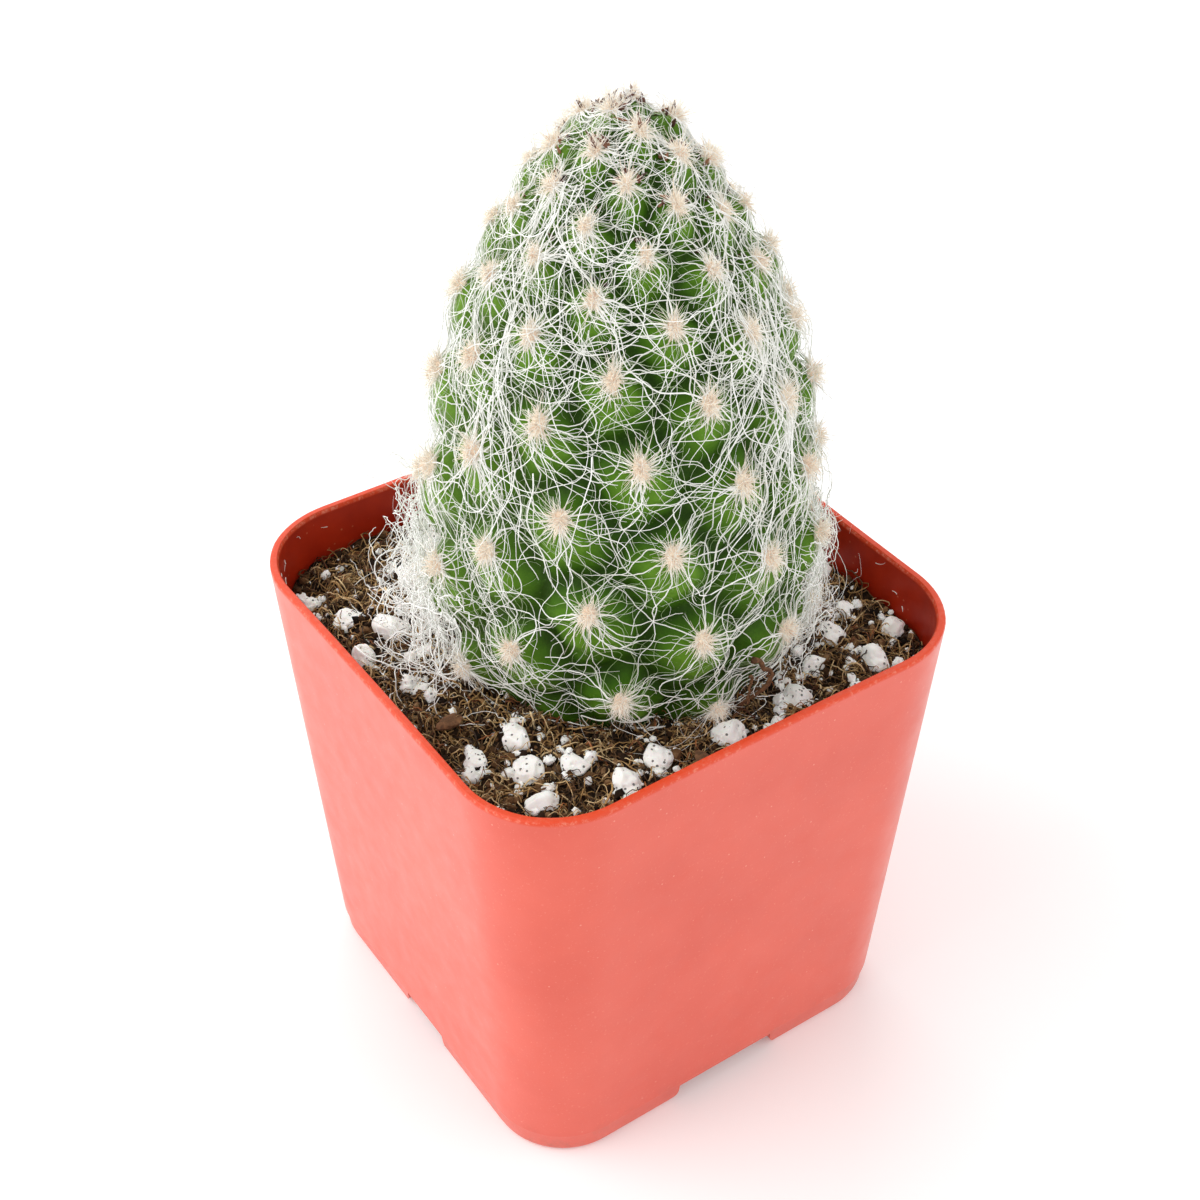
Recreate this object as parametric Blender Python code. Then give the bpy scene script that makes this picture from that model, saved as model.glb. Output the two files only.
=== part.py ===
"""A woolly columnar cactus growing in a square plastic nursery pot.

Sizes are in millimetres and are turned into metres when a mesh is made. The origin is on the
surface that the pot stands on, under the pot's middle, with +Z up. The pot's sides face X and Y.
"""

import math

import bmesh
import bpy
from mathutils import Matrix, Vector, noise

MM = 0.001
GAP = 0.3  # kept between pieces that touch

# Pot: a thin tapered square cup that stands on four corner feet.
POT_TOP_WIDTH = 62.0
POT_BASE_WIDTH = 54.4
POT_HEIGHT = 60.4
TOP_CORNER_RADIUS = 11.6
BASE_CORNER_RADIUS = 9.3
WALL = 1.0
FLOOR = 1.2
BASE_EDGE_RADIUS = 0.9
RIM_EDGE = 0.15
FOOT_BAND_HEIGHT = 3.5
FOOT_BAND_INSET = 0.25
FRONT_CHANNEL_WIDTH = 14.0  # under the front and back walls, where it is widest
SIDE_CHANNEL_WIDTH = 8.4
CHANNEL_HEIGHT = 2.5
FOOT_END_RADIUS = 2.0
CENTRE_DRAIN_RADIUS = 3.5
SIDE_DRAIN_RADIUS = 2.0
SIDE_DRAIN_REACH = 17.0
CORNER_STEPS = 7

# Potting mix: it fills the pot up to its surface, and rises a little round the stem.
SOIL_BELOW_RIM = 6.5
SOIL_BUMP = 0.45
SOIL_BUMP_SIZE = 5.0
SOIL_RISE_AT_STEM = 0.5
SOIL_COLUMNS = 60
SOIL_TOP_RINGS = 5
SOCKET_RINGS = 7
SOCKET_GAP = 0.4  # a little over GAP, because both facing surfaces have flat facets

# Stem: a meridian from the buried foot to the growing tip, as height above the mix and radius.
STEM_CENTRE = (2.0, -0.8)
STEM_HEIGHT = 63.2
STEM_MERIDIAN = (
    (-17.0, 3.0),
    (-13.0, 6.5),
    (-7.0, 12.5),
    (0.0, 18.4),
    (5.0, 21.4),
    (13.0, 22.2),
    (22.0, 21.7),
    (32.0, 20.3),
    (42.0, 17.8),
    (51.0, 13.4),
    (57.5, 9.4),
    (61.6, 5.0),
)
STEM_FOOT_DEPTH = 18.0
STEM_COLUMNS = 66
STEM_ROW_STEP = 2.0

# Areoles follow a spiral down from the tip, one at the upper end of each tubercle. The surface
# that one has to itself grows with the distance from the tip, as (distance, square millimetres).
DIVERGENCE = math.radians(137.8)
FIRST_AREOLE_ANGLE = math.radians(175)
AREOLE_AREAS = ((0.0, 11.0), (18.0, 42.0), (36.0, 92.0), (56.0, 125.0), (90.0, 160.0))
TUBERCLE_DEPTH = 2.7
TUBERCLE_FULL_AREA = 125.0
LOWEST_TUBERCLE = -1.0  # tubercles fade out between here and BARE_BELOW, above the mix
FULL_TUBERCLES_ABOVE = 3.0

# Young awl-shaped leaves stand at the newest areoles.
LEAF_COUNT = 7
LEAF_LENGTH = 2.2
LEAF_RADIUS = 0.55
LEAF_STAND_OFF = 0.22  # of a leaf's foot from the areole; the faceted stem lies a little lower
LEAF_OUTWARD_TILT = math.radians(28)

# Perlite grains bedded in the mix, as (bearing round the stem in degrees, share of the way from
# the stem to the wall, length).
PERLITE_SINK = 0.12  # share of a grain's length that its middle lies below the surface
PERLITE = (
    (12, 0.95, 3.0),
    (33, 0.55, 4.2),
    (45, 0.90, 3.2),
    (50, 0.45, 4.7),
    (70, 0.70, 4.1),
    (89, 0.80, 3.4),
    (113, 0.60, 4.4),
    (127, 0.40, 3.6),
    (141, 0.95, 2.8),
    (145, 0.75, 4.4),
    (148, 0.40, 4.9),
    (158, 0.85, 4.2),
    (161, 0.35, 2.8),
    (173, 0.50, 2.8),
    (202, 0.70, 3.9),
    (206, 0.15, 4.5),
    (214, 0.40, 4.9),
    (220, 0.70, 4.6),
    (224, 0.25, 4.0),
    (236, 0.55, 4.3),
    (245, 0.20, 4.8),
    (246, 0.90, 3.4),
    (267, 0.30, 4.5),
    (279, 0.75, 3.6),
    (292, 0.30, 4.6),
    (302, 0.80, 3.2),
    (306, 0.20, 3.5),
    (312, 0.75, 4.6),
    (320, 0.25, 4.5),
    (323, 1.00, 3.8),
    (330, 0.65, 3.3),
    (347, 1.00, 4.0),
)

# Chips of bark lying on the mix, placed like the grains, with a last number for their heading.
BARK = (
    (60, 0.98, 3.6, 130),
    (190, 0.60, 3.4, 20),
    (256, 0.85, 3.8, 75),
)
BARK_WIDTH = 1.6
BARK_THICKNESS = 0.7

SOIL_TOP = POT_HEIGHT - SOIL_BELOW_RIM


# ---------------------------------------------------------------- meshes and materials


def material(name, colour, roughness):
    """A plain Principled material."""
    made = bpy.data.materials.new(name)
    made.use_nodes = True
    shader = made.node_tree.nodes["Principled BSDF"]
    shader.inputs["Base Color"].default_value = (*colour, 1.0)
    shader.inputs["Roughness"].default_value = roughness
    shader.inputs["Metallic"].default_value = 0.0
    return made


def add_mesh(name, points, faces, surface=None, smooth=True):
    """An object from points in millimetres. With no material it is a hidden cutter."""
    mesh = bpy.data.meshes.new(name)
    mesh.from_pydata([Vector(p) * MM for p in points], [], faces)
    edit = bmesh.new()
    edit.from_mesh(mesh)
    bmesh.ops.recalc_face_normals(edit, faces=edit.faces)
    edit.to_mesh(mesh)
    edit.free()
    if smooth:
        mesh.shade_smooth()
        mesh.set_sharp_from_angle(angle=math.radians(40))
    obj = bpy.data.objects.new(name, mesh)
    bpy.context.scene.collection.objects.link(obj)
    if surface is None:
        obj.hide_render = True
        obj.display_type = "WIRE"
    else:
        mesh.materials.append(surface)
    return obj


def cut(obj, *cutters):
    """Takes each cutter away from obj."""
    for cutter in cutters:
        modifier = obj.modifiers.new("cut_" + cutter.name, "BOOLEAN")
        modifier.operation = "DIFFERENCE"
        modifier.solver = "EXACT"
        modifier.object = cutter


def ring_faces(rows, columns):
    """Quads between rows of points that each go once round."""
    faces = []
    for row in range(rows - 1):
        for k in range(columns):
            after = (k + 1) % columns
            a, b = row * columns, (row + 1) * columns
            faces.append((a + k, a + after, b + after, b + k))
    return faces


def loft(name, rings, surface=None):
    """A closed solid through rings of equally many points, capped at both ends."""
    columns = len(rings[0])
    points = [p for ring in rings for p in ring]
    faces = ring_faces(len(rings), columns)
    faces.append(tuple(reversed(range(columns))))
    faces.append(tuple(range(len(points) - columns, len(points))))
    return add_mesh(name, points, faces, surface)


def smooth_step(value):
    value = min(1.0, max(0.0, value))
    return value * value * (3 - 2 * value)


# ---------------------------------------------------------------- pot


def half_width(z):
    """Half the pot's outer width at a height."""
    share = z / POT_HEIGHT
    return (POT_BASE_WIDTH + (POT_TOP_WIDTH - POT_BASE_WIDTH) * share) / 2


def corner_radius(z):
    share = z / POT_HEIGHT
    return BASE_CORNER_RADIUS + (TOP_CORNER_RADIUS - BASE_CORNER_RADIUS) * share


def pot_ring(z, inset):
    """The pot's rounded square outline at a height, moved in by inset."""
    half = half_width(z) - inset
    radius = corner_radius(z) - inset
    points = []
    for quarter in range(4):
        start = quarter * math.pi / 2
        middle = start + math.pi / 4
        cx = math.copysign(half - radius, math.cos(middle))
        cy = math.copysign(half - radius, math.sin(middle))
        for step in range(CORNER_STEPS + 1):
            angle = start + step * math.pi / 2 / CORNER_STEPS
            points.append((cx + radius * math.cos(angle), cy + radius * math.sin(angle), z))
    return points


def channel_bar(name, grow, along_y):
    """A bar under the pot whose removal leaves the corner feet. grow thickens it."""
    width = (FRONT_CHANNEL_WIDTH if along_y else SIDE_CHANNEL_WIDTH) / 2
    radius = FOOT_END_RADIUS - grow
    reach = POT_BASE_WIDTH
    side = [(width + FOOT_END_RADIUS, -FLOOR)]
    arc_steps = 4
    for step in range(arc_steps + 1):
        angle = step * math.pi / 2 / arc_steps
        side.append(
            (
                width + FOOT_END_RADIUS - radius * math.sin(angle),
                FOOT_END_RADIUS - radius * math.cos(angle),
            )
        )
    side.append((width + grow, CHANNEL_HEIGHT + grow))
    section = side + [(-x, z) for x, z in reversed(side)]
    ends = []
    for end in (-reach, reach):
        if along_y:
            ends.append([(x, end, z) for x, z in section])
        else:
            ends.append([(end, x, z) for x, z in section])
    return loft(name, ends)


def drain_cutters():
    """Upright pins for the drain holes: one at the middle and one in each arm of the channel."""
    edit = bmesh.new()
    spots = [(0.0, 0.0, CENTRE_DRAIN_RADIUS)]
    for quarter in range(4):
        angle = quarter * math.pi / 2
        x, y = SIDE_DRAIN_REACH * math.cos(angle), SIDE_DRAIN_REACH * math.sin(angle)
        spots.append((x, y, SIDE_DRAIN_RADIUS))
    for x, y, radius in spots:
        bmesh.ops.create_cone(
            edit,
            cap_ends=True,
            segments=20,
            radius1=radius * MM,
            radius2=radius * MM,
            depth=4 * CHANNEL_HEIGHT * MM,
            matrix=Matrix.Translation(Vector((x, y, CHANNEL_HEIGHT)) * MM),
        )
    mesh = bpy.data.meshes.new("drain_holes")
    edit.to_mesh(mesh)
    edit.free()
    obj = bpy.data.objects.new("drain_holes", mesh)
    bpy.context.scene.collection.objects.link(obj)
    obj.hide_render = True
    obj.display_type = "WIRE"
    return obj


def make_pot():
    outer = [pot_ring(0.0, FOOT_BAND_INSET + BASE_EDGE_RADIUS)]
    for step in (1, 2):
        angle = step * math.pi / 4
        z = BASE_EDGE_RADIUS * (1 - math.cos(angle))
        outer.append(pot_ring(z, FOOT_BAND_INSET + BASE_EDGE_RADIUS * (1 - math.sin(angle))))
    outer.append(pot_ring(FOOT_BAND_HEIGHT - FOOT_BAND_INSET, FOOT_BAND_INSET))
    outer.append(pot_ring(FOOT_BAND_HEIGHT, 0.0))
    outer.append(pot_ring(POT_HEIGHT - RIM_EDGE, 0.0))
    outer.append(pot_ring(POT_HEIGHT, RIM_EDGE))
    colour = material("terracotta_plastic", (0.78, 0.16, 0.10), 0.42)
    pot = loft("pot", outer, colour)

    inner = [
        pot_ring(FLOOR, FOOT_BAND_INSET + WALL + BASE_EDGE_RADIUS / 2),
        pot_ring(FLOOR + BASE_EDGE_RADIUS, FOOT_BAND_INSET + WALL),
        pot_ring(POT_HEIGHT - RIM_EDGE, WALL),
        pot_ring(POT_HEIGHT + RIM_EDGE, WALL - 2 * RIM_EDGE),
    ]
    cavity = loft("pot_cavity", inner)
    cut(cavity, channel_bar("inner_bar_x", WALL, False), channel_bar("inner_bar_y", WALL, True))
    cut(
        pot,
        cavity,
        channel_bar("outer_bar_x", 0.0, False),
        channel_bar("outer_bar_y", 0.0, True),
        drain_cutters(),
    )
    return pot


# ---------------------------------------------------------------- stem


def stem_line():
    """The meridian as (radius, height above the mix), from the tip down to the foot's end."""
    knots = [(0.0, -STEM_FOOT_DEPTH)]
    knots += [(radius, z) for z, radius in STEM_MERIDIAN]
    knots += [(0.0, STEM_HEIGHT)]
    # Points mirrored past each end make the curve level where it meets the axis.
    first, last = knots[1], knots[-2]
    knots = [(-first[0], first[1])] + knots + [(-last[0], last[1])]
    line = []
    steps = 12
    for i in range(1, len(knots) - 2):
        p0, p1, p2, p3 = (Vector(knots[j]) for j in range(i - 1, i + 3))
        for step in range(steps):
            t = step / steps
            line.append(
                0.5
                * (
                    2 * p1
                    + (p2 - p0) * t
                    + (2 * p0 - 5 * p1 + 4 * p2 - p3) * t * t
                    + (3 * p1 - p0 - 3 * p2 + p3) * t * t * t
                )
            )
    line.append(Vector(knots[-2]))
    return list(reversed(line))


def with_lengths(line):
    """[(distance from the tip, radius, height)] along the meridian."""
    found = [(0.0, line[0].x, line[0].y)]
    for before, after in zip(line, line[1:]):
        found.append((found[-1][0] + (after - before).length, after.x, after.y))
    return found


MERIDIAN = with_lengths(stem_line())
MERIDIAN_LENGTH = MERIDIAN[-1][0]


def on_meridian(s):
    """(radius, height, outward direction) at a distance from the tip."""
    s = min(max(s, 0.0), MERIDIAN_LENGTH)
    for a, b in zip(MERIDIAN, MERIDIAN[1:]):
        if s <= b[0]:
            break
    share = (s - a[0]) / (b[0] - a[0])
    along = Vector((b[1] - a[1], b[2] - a[2])).normalized()
    radius = a[1] + (b[1] - a[1]) * share
    height = a[2] + (b[2] - a[2]) * share
    return radius, height, Vector((-along.y, along.x))


def areole_area(s):
    """The surface that one areole has to itself, at a distance from the tip."""
    for (start, low), (end, high) in zip(AREOLE_AREAS, AREOLE_AREAS[1:]):
        if s <= end:
            break
    return low + (high - low) * min(1.0, (s - start) / (end - start))


def make_areoles():
    """[(distance from the tip, angle, size)], newest first, down to where the mix begins."""
    found = []
    covered = 0.0
    step = 0.1
    s = 0.0
    while s < MERIDIAN_LENGTH:
        radius, height, _ = on_meridian(s)
        if height < LOWEST_TUBERCLE - TUBERCLE_DEPTH:
            break
        covered += 2 * math.pi * max(radius, 0.0) * step / areole_area(s)
        s += step
        if covered >= len(found) + 0.35:
            angle = FIRST_AREOLE_ANGLE - len(found) * DIVERGENCE
            found.append((s, angle, math.sqrt(areole_area(s))))
    return found


AREOLES = make_areoles()


def tubercle_height(s, angle):
    """From 0 in a crease to 1 at the top of a tubercle, highest beside its areole."""
    radius, height, _ = on_meridian(s)
    nearest = second = 9.0
    below = 0.0
    for areole_s, areole_angle, size in AREOLES:
        if abs(areole_s - s) > 2.5 * size:
            continue
        turn = (angle - areole_angle + math.pi) % (2 * math.pi) - math.pi
        down = (s - areole_s) / size
        across = turn * max(radius, 0.5) / size
        far = math.hypot(across / 0.95, (down - 0.28) / 1.05)
        if far < nearest:
            nearest, second, below = far, nearest, down
        elif far < second:
            second = far
    crease = smooth_step((second - nearest) / 0.85)
    towards_areole = 1 - 0.34 * smooth_step((below + 0.1) / 0.95)
    fade = smooth_step(
        (height - LOWEST_TUBERCLE) / (FULL_TUBERCLES_ABOVE - LOWEST_TUBERCLE)
    )
    return 1 - (1 - crease * towards_areole) * fade


def tubercle_depth(s):
    """How deep the creases are: less where the tubercles are small."""
    return TUBERCLE_DEPTH * min(1.0, math.sqrt(areole_area(s) / TUBERCLE_FULL_AREA))


def stem_point(s, angle, out=0.0):
    """A point on the stem in the pot's frame, moved out by a distance."""
    radius, height, outward = on_meridian(s)
    sunk = tubercle_depth(s) * (1 - tubercle_height(s, angle))
    radius += outward.x * (out - sunk)
    return Vector(
        (
            STEM_CENTRE[0] + radius * math.cos(angle),
            STEM_CENTRE[1] + radius * math.sin(angle),
            SOIL_TOP + height + outward.y * (out - sunk),
        )
    )


def make_stem():
    rows = round(MERIDIAN_LENGTH / STEM_ROW_STEP)
    points = [stem_point(0.0, 0.0)]
    for row in range(1, rows):
        s = MERIDIAN_LENGTH * row / rows
        for k in range(STEM_COLUMNS):
            points.append(stem_point(s, 2 * math.pi * k / STEM_COLUMNS))
    points.append(stem_point(MERIDIAN_LENGTH, 0.0))
    last = len(points) - 1
    faces = [tuple(i + 1 for i in face) for face in ring_faces(rows - 1, STEM_COLUMNS)]
    for k in range(STEM_COLUMNS):
        after = (k + 1) % STEM_COLUMNS
        faces.append((0, 1 + after, 1 + k))
        faces.append((last, last - STEM_COLUMNS + k, last - STEM_COLUMNS + after))
    return add_mesh("cactus_stem", points, faces, material("stem_green", (0.07, 0.22, 0.03), 0.5))


def make_leaves():
    """Small awl-shaped leaves, each standing just off the stem at one of the newest areoles."""
    surface = material("young_leaf_brown", (0.16, 0.05, 0.03), 0.6)
    sides = 6
    for i in range(LEAF_COUNT):
        s, angle, _ = AREOLES[i]
        foot = stem_point(s, angle, LEAF_STAND_OFF)
        _, _, outward = on_meridian(s)
        up = Vector((outward.x * math.cos(angle), outward.x * math.sin(angle), outward.y))
        side = up.cross(Vector((-math.sin(angle), math.cos(angle), 0.0)))
        up = (Matrix.Rotation(-LEAF_OUTWARD_TILT * i / LEAF_COUNT, 3, side.cross(up)) @ up)
        across = up.orthogonal().normalized()
        other = up.cross(across)
        rings = []
        for share, width in ((0.0, 0.7), (0.12, 1.0), (0.45, 0.85), (0.8, 0.45), (1.0, 0.12)):
            middle = foot + up * (share * LEAF_LENGTH)
            ring = []
            for k in range(sides):
                turn = 2 * math.pi * k / sides
                reach = LEAF_RADIUS * width
                ring.append(middle + (across * math.cos(turn) + other * math.sin(turn)) * reach)
            rings.append(ring)
        loft(f"young_leaf_{i + 1}", rings, surface)


# ---------------------------------------------------------------- potting mix and what lies on it


def soil_height(x, y):
    """The height of the mix's surface above the surface that the pot stands on."""
    spot = Vector((x, y, 0.0)) / SOIL_BUMP_SIZE
    bumps = SOIL_BUMP * noise.noise(spot)
    reach = math.hypot(x - STEM_CENTRE[0], y - STEM_CENTRE[1])
    rise = SOIL_RISE_AT_STEM * (1 - smooth_step((reach - 17.0) / 9.0))
    return SOIL_TOP + bumps + rise


def wall_reach(angle, z, inset):
    """How far from the stem's middle the pot's outline lies, moved in by inset."""
    half = half_width(z) - inset
    radius = corner_radius(z) - inset
    low, high = 0.0, 2 * half
    for _ in range(40):
        reach = (low + high) / 2
        x = abs(STEM_CENTRE[0] + reach * math.cos(angle))
        y = abs(STEM_CENTRE[1] + reach * math.sin(angle))
        dx, dy = x - (half - radius), y - (half - radius)
        inside = max(x, y) < half and (min(dx, dy) < 0 or math.hypot(dx, dy) < radius)
        low, high = (reach, high) if inside else (low, reach)
    return low


def socket_radius(depth):
    """The stem's outer radius at a depth below the mix's level."""
    best = min(MERIDIAN, key=lambda m: abs(m[2] + depth))
    return best[1]


def place_on_mix(bearing, share, length):
    """The spot for a thing of some length, at a share of the room between stem and wall."""
    angle = math.radians(bearing)
    room = length * 0.55 + GAP
    near = socket_radius(0.0) + GAP + room
    far = wall_reach(angle, SOIL_TOP, WALL + GAP) - room
    reach = near + (far - near) * share
    return STEM_CENTRE[0] + reach * math.cos(angle), STEM_CENTRE[1] + reach * math.sin(angle)


def make_mix(sockets):
    """The mix fills the pot, with a socket for the stem's foot."""
    angles = [2 * math.pi * k / SOIL_COLUMNS for k in range(SOIL_COLUMNS)]
    bottom = FLOOR + GAP
    edge_inset = WALL + GAP

    def spot(angle, reach, z):
        return (
            STEM_CENTRE[0] + reach * math.cos(angle),
            STEM_CENTRE[1] + reach * math.sin(angle),
            z,
        )

    rings = []
    for z, extra in (
        (bottom, FOOT_BAND_INSET + BASE_EDGE_RADIUS),
        (bottom + 2 * BASE_EDGE_RADIUS, FOOT_BAND_INSET),
        (SOIL_TOP - 2.0, 0.0),
    ):
        rings.append([spot(a, wall_reach(a, z, edge_inset + extra), z) for a in angles])
    for ring in range(SOIL_TOP_RINGS + 1):
        share = ring / SOIL_TOP_RINGS
        row = []
        for a in angles:
            outer = wall_reach(a, SOIL_TOP - 1.0, edge_inset)
            inner = socket_radius(-0.6) + GAP
            reach = outer + (inner - outer) * share
            x, y, _ = spot(a, reach, 0.0)
            row.append((x, y, soil_height(x, y)))
        rings.append(row)
    start = next(m[0] for m in MERIDIAN if m[2] < 0)
    for ring in range(1, SOCKET_RINGS + 1):
        s = start + (MERIDIAN_LENGTH - start) * ring / (SOCKET_RINGS + 0.4)
        radius, height, outward = on_meridian(s)
        reach = radius + outward.x * SOCKET_GAP
        z = SOIL_TOP + height + outward.y * SOCKET_GAP
        rings.append([spot(a, reach, z) for a in angles])
    mix = loft("potting_mix", rings, material("potting_mix_brown", (0.06, 0.03, 0.015), 0.95))
    grow = WALL + GAP
    cut(mix, channel_bar("mix_bar_x", grow, False), channel_bar("mix_bar_y", grow, True))
    for socket in sockets:
        cut(mix, socket)
    return mix


def lump(name, centre, sizes, turn, seed, surface=None, grow=0.0):
    """A rough pebble, or with grow the hollow that it lies in."""
    edit = bmesh.new()
    bmesh.ops.create_icosphere(edit, subdivisions=2, radius=1.0)
    rotate = Matrix.Rotation(turn, 3, "Z")
    points = []
    for vertex in edit.verts:
        rough = 1 + 0.13 * noise.noise(vertex.co * 1.3 + Vector((seed * 3.7, 0, 0)))
        scaled = Vector([vertex.co[i] * (sizes[i] / 2 * rough + grow) for i in range(3)])
        points.append(rotate @ scaled + centre)
    edit.verts.index_update()
    faces = [tuple(v.index for v in face.verts) for face in edit.faces]
    edit.free()
    return add_mesh(name, points, faces, surface)


def make_perlite():
    """Each grain and the hollow for it, by turns in size and heading."""
    surface = material("perlite_white", (0.80, 0.79, 0.76), 0.9)
    hollows = []
    for i, (bearing, share, length) in enumerate(PERLITE):
        x, y = place_on_mix(bearing, share, length)
        turn = i * DIVERGENCE
        width = length * (0.74 + 0.14 * math.sin(2.1 * i))
        height = length * (0.66 + 0.08 * math.cos(1.7 * i))
        z = soil_height(x, y) - PERLITE_SINK * length + 0.2 * height
        sizes = (length, width, height)
        name = f"perlite_{i + 1:02d}"
        lump(name, Vector((x, y, z)), sizes, turn, i + 1, surface)
        hollow = lump(name + "_hollow", Vector((x, y, z)), sizes, turn, i + 1, None, GAP)
        hollows.append(hollow)
    return hollows


def make_bark():
    surface = material("bark_brown", (0.22, 0.10, 0.05), 0.85)
    for i, (bearing, share, length, turn) in enumerate(BARK):
        x, y = place_on_mix(bearing, share, length)
        rotate = Matrix.Rotation(math.radians(turn), 3, "Z") @ Matrix.Rotation(0.12, 3, "Y")
        z = soil_height(x, y) + BARK_THICKNESS / 2 + GAP + 0.45
        centre = Vector((x, y, z))
        rings = []
        for share, width in ((-0.5, 0.35), (-0.3, 0.9), (0.2, 1.0), (0.5, 0.5)):
            ring = []
            for across, up in ((-1, -1), (1, -1), (1, 1), (0, 1.3), (-1, 1)):
                local = Vector(
                    (
                        share * length,
                        across * width * BARK_WIDTH / 2,
                        up * BARK_THICKNESS / 2,
                    )
                )
                ring.append(rotate @ local + centre)
            rings.append(ring)
        loft(f"bark_chip_{i + 1}", rings, surface)


def main():
    for old in list(bpy.data.objects):
        bpy.data.objects.remove(old)
    make_pot()
    make_stem()
    make_leaves()
    make_mix(make_perlite())
    make_bark()


main()
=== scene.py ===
"""The looks of a woolly columnar cactus in a square plastic nursery pot.

Lengths are in millimetres in the functions here, and become metres when a mesh is made.
"""

import math

import bmesh
import bpy
import numpy as np
from mathutils import Matrix, Vector
from numpy.random import default_rng


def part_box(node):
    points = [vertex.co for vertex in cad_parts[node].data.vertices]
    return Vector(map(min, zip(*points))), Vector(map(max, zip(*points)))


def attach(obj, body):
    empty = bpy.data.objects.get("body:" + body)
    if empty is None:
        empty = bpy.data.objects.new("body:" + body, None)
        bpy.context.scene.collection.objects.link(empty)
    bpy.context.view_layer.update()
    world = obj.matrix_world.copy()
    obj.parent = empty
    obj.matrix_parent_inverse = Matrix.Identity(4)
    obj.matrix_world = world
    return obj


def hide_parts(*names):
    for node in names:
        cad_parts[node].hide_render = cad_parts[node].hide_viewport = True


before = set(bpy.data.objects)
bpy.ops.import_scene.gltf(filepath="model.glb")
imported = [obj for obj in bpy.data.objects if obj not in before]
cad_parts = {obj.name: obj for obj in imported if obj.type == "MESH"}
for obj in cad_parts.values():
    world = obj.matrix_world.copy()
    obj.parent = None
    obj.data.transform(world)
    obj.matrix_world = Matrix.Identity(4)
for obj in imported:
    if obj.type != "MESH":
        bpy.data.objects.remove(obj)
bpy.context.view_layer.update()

MM = 0.001
TURN = 2 * np.pi
SCENE = bpy.context.scene


def node_box(node):
    """A CAD node's lowest and highest corner in millimetres."""
    low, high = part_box(node)
    return np.array(low) / MM, np.array(high) / MM


# Pot, as in the CAD model.
POT_LOW, POT_HIGH = node_box("pot")
POT_HEIGHT = POT_HIGH[2]
POT_TOP_WIDTH = POT_HIGH[0] - POT_LOW[0]
POT_BASE_WIDTH = 54.4
TOP_CORNER_RADIUS = 11.6
BASE_CORNER_RADIUS = 9.3
WALL = 1.0
FLOOR = 1.2
WALL_SLOPE = (POT_TOP_WIDTH - POT_BASE_WIDTH) / 2 / POT_HEIGHT
FOOT_BAND_HEIGHT = 3.5
FRONT_CHANNEL_WIDTH = 14.0
SIDE_CHANNEL_WIDTH = 8.4
CHANNEL_HEIGHT = 2.5
FOOT_END_RADIUS = 2.0

# Stem, as in the CAD model. The meridian is height above the mix and radius, from the foot up.
STEM_HEIGHT = 63.2
SOIL_TOP = POT_HEIGHT - 6.5
STEM_CENTRE = np.array([2.0, -0.8])
STEM_FOOT_DEPTH = 18.0
STEM_MERIDIAN = (
    (-17.0, 3.0), (-13.0, 6.5), (-7.0, 12.5), (0.0, 18.4), (5.0, 21.4), (13.0, 22.2),
    (22.0, 21.7), (32.0, 20.3), (42.0, 17.8), (51.0, 13.4), (57.5, 9.4), (61.6, 5.0),
)
DIVERGENCE = math.radians(137.8)
FIRST_AREOLE_ANGLE = math.radians(175)
AREOLE_AREAS = ((0.0, 11.0), (18.0, 42.0), (36.0, 92.0), (56.0, 125.0), (90.0, 160.0))
TUBERCLE_DEPTH = 2.7
TUBERCLE_FULL_AREA = 125.0

# How far the crowded young growth stands beyond the CAD envelope at the tip.
TIP_SWELL = 1.2
TIP_SWELL_LENGTH = 7.0

# The bearing that faces the camera.
MIDDLE = math.radians(235.6)

# Heights above the mix where areoles, and those with pads and hair, begin.
AREOLES_FROM = -3.7
PADS_FROM = 1.2

YOUNG_LEAVES = 7
# How many areoles crown the tip, and how many have dried tips.
NEWEST = 16
TIPPED = 34
GRAINS = 32
CHIPS = 3
HAIR_SLOT = "young_leaf"
# How far from the stem's middle the mix and the loose pieces on it begin.
MIX_FROM = 17.2
GROUND_FROM = 18.2


# ---- meshes


def mesh_object(name, points, faces, surface, slot, looks=None, smooth=True):
    """An object that rides on the root body. points is (n, 3) in millimetres.

    faces is a list of integer arrays, one for each number of corners. looks are values for
    each point that the surface reads.
    """
    mesh = bpy.data.meshes.new(name)
    points = np.asarray(points, dtype=np.float64) * MM
    mesh.vertices.add(len(points))
    mesh.vertices.foreach_set("co", points.ravel())
    corners = np.concatenate([np.ravel(f) for f in faces])
    sizes = np.concatenate([np.full(*np.shape(f)) for f in faces])
    mesh.loops.add(len(corners))
    mesh.loops.foreach_set("vertex_index", corners.astype(np.int32))
    mesh.polygons.add(len(sizes))
    starts = np.cumsum(sizes) - sizes
    mesh.polygons.foreach_set("loop_start", starts.astype(np.int32))
    mesh.polygons.foreach_set("use_smooth", np.full(len(sizes), smooth))
    mesh.update(calc_edges=True)
    for key, values in (looks or {}).items():
        layer = mesh.attributes.new(key, "FLOAT", "POINT")
        layer.data.foreach_set("value", np.asarray(values, dtype=np.float32).ravel())
    mesh.materials.append(surface)
    obj = bpy.data.objects.new(name, mesh)
    SCENE.collection.objects.link(obj)
    if slot:
        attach(obj, "root")
    return obj


def grid_faces(rows, columns):
    """Quads between rows of points that each go once round."""
    row, column = np.meshgrid(np.arange(rows - 1), np.arange(columns), indexing="ij")
    after = (column + 1) % columns
    a = row * columns
    b = a + columns
    return np.stack([a + column, a + after, b + after, b + column], -1).reshape(-1, 4)


def end_caps(points, columns):
    """One face over the first row of points and one over the last."""
    last = np.arange(len(points) - columns, len(points))
    return [np.arange(columns)[::-1][None], last[None]]


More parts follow.
